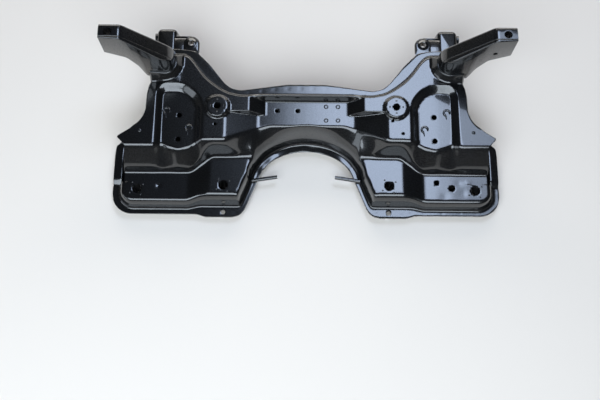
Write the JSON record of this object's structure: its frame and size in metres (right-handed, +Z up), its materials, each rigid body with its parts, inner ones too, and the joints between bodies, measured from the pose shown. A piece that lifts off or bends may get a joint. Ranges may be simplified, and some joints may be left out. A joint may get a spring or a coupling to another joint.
{
  "type": "car front subframe",
  "caption": "Welded sheet-steel front subframe: two pressed shells round a rear arch, raised horns with body bolts, spacer sleeves, front brackets and hanger rods, black coated.",
  "frame": {"origin": "middle of the footprint on the ground plane, under the lower shell's tray", "axes": "+X to the right across the car (the longest extent), +Y forward away from the arch, +Z up along the horns and bolt sleeves"},
  "size_m": [0.826, 0.398, 0.274],
  "materials": {
    "shell_coat": "gloss black dip coat",
    "sleeve_coat": "satin black dip coat",
    "rod_coat": "gloss black dip coat"
  },
  "bodies": {
    "root": {"upper_shell": "shell_coat", "lower_shell": "shell_coat", "left_horn_front": "shell_coat", "right_horn_front": "shell_coat", "left_horn_rear": "shell_coat", "right_horn_rear": "shell_coat", "left_horn_sleeve": "sleeve_coat", "right_horn_sleeve": "sleeve_coat", "left_front_bracket": "shell_coat", "right_front_bracket": "shell_coat", "left_lug": "shell_coat", "right_lug": "shell_coat", "left_bracket_nut": "sleeve_coat", "right_bracket_nut": "sleeve_coat", "left_rack_sleeve": "sleeve_coat", "right_rack_sleeve": "sleeve_coat", "left_outer_sleeve": "sleeve_coat", "right_outer_sleeve": "sleeve_coat", "left_inner_sleeve": "sleeve_coat", "right_inner_sleeve": "sleeve_coat", "left_hanger": "rod_coat", "right_hanger": "rod_coat", "plate_nuts": "sleeve_coat", "left_brace": "sleeve_coat", "right_brace": "sleeve_coat"}
  },
  "joints": []
}
